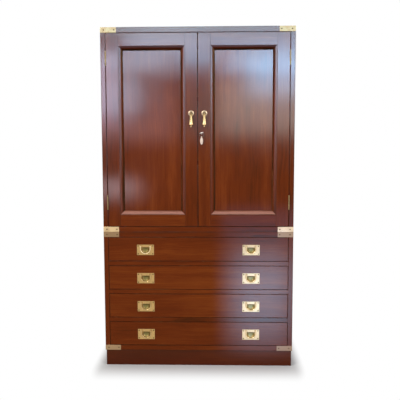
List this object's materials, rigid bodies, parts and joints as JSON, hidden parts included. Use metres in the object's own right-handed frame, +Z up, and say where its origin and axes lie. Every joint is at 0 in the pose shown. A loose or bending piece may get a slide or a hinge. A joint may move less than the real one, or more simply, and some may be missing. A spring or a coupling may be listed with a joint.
{
  "type": "armoire chest",
  "caption": "Tall polished-wood armoire chest: a panelled cupboard with doors over a case of long drawers, with brass corners, hanging door pulls, flush drawer pulls and a key.",
  "frame": {"origin": "on the floor, under the middle of the whole outline", "axes": "+Z up, +X to the right seen from the front, the doors and drawers face -Y"},
  "size_m": [1.0106, 0.556, 1.8],
  "materials": {
    "mahogany": "french polished",
    "lining_timber": "waxed",
    "brass": "polished, a little worn",
    "steel": "handled",
    "bone": "satin"
  },
  "bodies": {
    "carcass": {"plinth_frame": "mahogany", "corner_brasses": "brass", "drawer_rails": "mahogany", "drawer_runners_and_stops": "lining_timber", "shelves": "mahogany", "lower_case_left_side": "mahogany", "lower_case_right_side": "mahogany", "lower_case_bottom": "mahogany", "lower_case_top": "mahogany", "upper_case_left_side": "mahogany", "upper_case_right_side": "mahogany", "upper_case_bottom": "mahogany", "upper_case_top": "mahogany", "back_panels": "lining_timber", "hinge_case_leaves": "brass", "hinge_pins": "brass", "carcass_screws": "brass"},
    "left_door": {"left_door_frame": "mahogany", "left_door_panel": "mahogany", "left_door_moulding": "mahogany", "left_door_hinge_leaves": "brass", "left_door_screws": "brass", "left_pull_rose": "brass", "lock_strike": "brass", "slide_bolt_plates": "brass"},
    "right_door": {"right_door_frame": "mahogany", "right_door_panel": "mahogany", "right_door_moulding": "mahogany", "right_door_hinge_leaves": "brass", "right_door_screws": "brass", "right_pull_rose": "brass", "lock_case": "brass"},
    "left_pull": {"left_pull_drop": "brass"},
    "right_pull": {"right_pull_drop": "brass"},
    "top_bolt": {"top_slide_bolt": "brass"},
    "bottom_bolt": {"bottom_slide_bolt": "brass"},
    "lock_bolt": {"lock_bolt": "brass"},
    "key": {"key": "steel"},
    "fob": {"key_ring": "steel", "key_fob": "bone"},
    "drawer_1": {"drawer_1_front": "mahogany", "drawer_1_box": "lining_timber", "drawer_1_pull_plates": "brass"},
    "drawer_1_left_bail": {"drawer_1_left_bail": "brass"},
    "drawer_1_right_bail": {"drawer_1_right_bail": "brass"},
    "drawer_2": {"drawer_2_front": "mahogany", "drawer_2_box": "lining_timber", "drawer_2_pull_plates": "brass"},
    "drawer_2_left_bail": {"drawer_2_left_bail": "brass"},
    "drawer_2_right_bail": {"drawer_2_right_bail": "brass"},
    "drawer_3": {"drawer_3_front": "mahogany", "drawer_3_box": "lining_timber", "drawer_3_pull_plates": "brass"},
    "drawer_3_left_bail": {"drawer_3_left_bail": "brass"},
    "drawer_3_right_bail": {"drawer_3_right_bail": "brass"},
    "drawer_4": {"drawer_4_front": "mahogany", "drawer_4_box": "lining_timber", "drawer_4_pull_plates": "brass"},
    "drawer_4_left_bail": {"drawer_4_left_bail": "brass"},
    "drawer_4_right_bail": {"drawer_4_right_bail": "brass"}
  },
  "joints": [
    {"name": "left_door_swing", "type": "hinge", "parent": "carcass", "child": "left_door", "pos_m": [-0.479, -0.2452, 1.266], "axis": [0, 0, -1], "range_deg": [0, 170]},
    {"name": "right_door_swing", "type": "hinge", "parent": "carcass", "child": "right_door", "pos_m": [0.479, -0.2452, 1.266], "axis": [0, 0, 1], "range_deg": [0, 170]},
    {"name": "left_pull_swing", "type": "hinge", "parent": "left_door", "child": "left_pull", "pos_m": [-0.0345, -0.255, 1.357], "axis": [-1, 0, 0], "range_deg": [0, 85]},
    {"name": "right_pull_swing", "type": "hinge", "parent": "right_door", "child": "right_pull", "pos_m": [0.0345, -0.255, 1.357], "axis": [-1, 0, 0], "range_deg": [0, 85]},
    {"name": "top_bolt_slide", "type": "slide", "parent": "left_door", "child": "top_bolt", "axis": [0, 0, 1], "range_m": [0, 0.016]},
    {"name": "bottom_bolt_slide", "type": "slide", "parent": "left_door", "child": "bottom_bolt", "axis": [0, 0, -1], "range_m": [0, 0.016]},
    {"name": "key_turn", "type": "hinge", "parent": "right_door", "child": "key", "pos_m": [0.02, -0.242, 1.255], "axis": [0, -1, 0], "range_deg": [0, 136]},
    {"name": "lock_bolt_slide", "type": "slide", "parent": "right_door", "child": "lock_bolt", "axis": [-1, 0, 0], "range_m": [0, 0.01]},
    {"name": "fob_swing", "type": "hinge", "parent": "right_door", "child": "fob", "pos_m": [0.02, -0.2485, 1.255], "axis": [0, -1, 0], "range_deg": [-35, 35]},
    {"name": "drawer_1_slide", "type": "slide", "parent": "carcass", "child": "drawer_1", "axis": [0, -1, 0], "range_m": [0, 0.38]},
    {"name": "drawer_1_left_bail_swing", "type": "hinge", "parent": "drawer_1", "child": "drawer_1_left_bail", "pos_m": [-0.282, -0.2462, 0.654], "axis": [-1, 0, 0], "range_deg": [0, 90]},
    {"name": "drawer_1_right_bail_swing", "type": "hinge", "parent": "drawer_1", "child": "drawer_1_right_bail", "pos_m": [0.282, -0.2462, 0.654], "axis": [-1, 0, 0], "range_deg": [0, 90]},
    {"name": "drawer_2_slide", "type": "slide", "parent": "carcass", "child": "drawer_2", "axis": [0, -1, 0], "range_m": [0, 0.38]},
    {"name": "drawer_2_left_bail_swing", "type": "hinge", "parent": "drawer_2", "child": "drawer_2_left_bail", "pos_m": [-0.282, -0.2462, 0.5], "axis": [-1, 0, 0], "range_deg": [0, 90]},
    {"name": "drawer_2_right_bail_swing", "type": "hinge", "parent": "drawer_2", "child": "drawer_2_right_bail", "pos_m": [0.282, -0.2462, 0.5], "axis": [-1, 0, 0], "range_deg": [0, 90]},
    {"name": "drawer_3_slide", "type": "slide", "parent": "carcass", "child": "drawer_3", "axis": [0, -1, 0], "range_m": [0, 0.38]},
    {"name": "drawer_3_left_bail_swing", "type": "hinge", "parent": "drawer_3", "child": "drawer_3_left_bail", "pos_m": [-0.282, -0.2462, 0.346], "axis": [-1, 0, 0], "range_deg": [0, 90]},
    {"name": "drawer_3_right_bail_swing", "type": "hinge", "parent": "drawer_3", "child": "drawer_3_right_bail", "pos_m": [0.282, -0.2462, 0.346], "axis": [-1, 0, 0], "range_deg": [0, 90]},
    {"name": "drawer_4_slide", "type": "slide", "parent": "carcass", "child": "drawer_4", "axis": [0, -1, 0], "range_m": [0, 0.38]},
    {"name": "drawer_4_left_bail_swing", "type": "hinge", "parent": "drawer_4", "child": "drawer_4_left_bail", "pos_m": [-0.282, -0.2462, 0.192], "axis": [-1, 0, 0], "range_deg": [0, 90]},
    {"name": "drawer_4_right_bail_swing", "type": "hinge", "parent": "drawer_4", "child": "drawer_4_right_bail", "pos_m": [0.282, -0.2462, 0.192], "axis": [-1, 0, 0], "range_deg": [0, 90]}
  ],
  "couplings": [
    {"joint": "key_turn", "follows": "lock_bolt_slide", "rad_per_m": 237.2}
  ]
}
